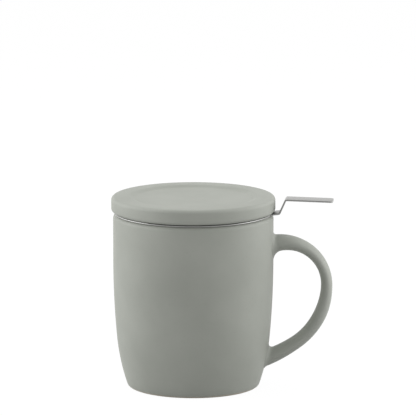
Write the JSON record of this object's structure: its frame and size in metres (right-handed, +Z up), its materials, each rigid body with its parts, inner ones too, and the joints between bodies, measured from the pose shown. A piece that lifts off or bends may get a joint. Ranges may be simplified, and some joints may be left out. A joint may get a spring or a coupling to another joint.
{
  "type": "lidded tea mug with infuser",
  "caption": "Stoneware tea mug with an ear handle, a loose lid and a lift-out steel infuser basket that hangs from the rim by a flat ring with a bent lifting strip.",
  "frame": {"origin": "centre of the mug's foot ring, on the surface it stands on", "axes": "+Z up along the mug's axis; +X from the axis towards the handle; +Y to the far side, with the handle on the right"},
  "size_m": [0.1219, 0.09, 0.1057],
  "materials": {
    "mug_glaze": "satin sage-grey glaze, bare foot ring",
    "handle_glaze": "satin sage-grey glaze",
    "rim_steel": "brushed stainless steel sheet",
    "wall_steel": "perforated stainless steel sheet",
    "base_steel": "perforated stainless steel sheet",
    "strip_steel": "brushed stainless steel strip",
    "lid_glaze": "satin sage-grey glaze"
  },
  "bodies": {
    "mug": {"mug_body": "mug_glaze", "mug_handle": "handle_glaze"},
    "infuser": {"infuser_rim": "rim_steel", "infuser_wall": "wall_steel", "infuser_base": "base_steel", "infuser_strip": "strip_steel"},
    "lid": {"lid": "lid_glaze"}
  },
  "joints": [
    {"name": "infuser_lift", "type": "slide", "parent": "mug", "child": "infuser", "axis": [0, 0, 1], "range_m": [0, 0.095]},
    {"name": "lid_lift", "type": "slide", "parent": "infuser", "child": "lid", "axis": [0, 0, 1], "range_m": [0, 0.04]}
  ]
}
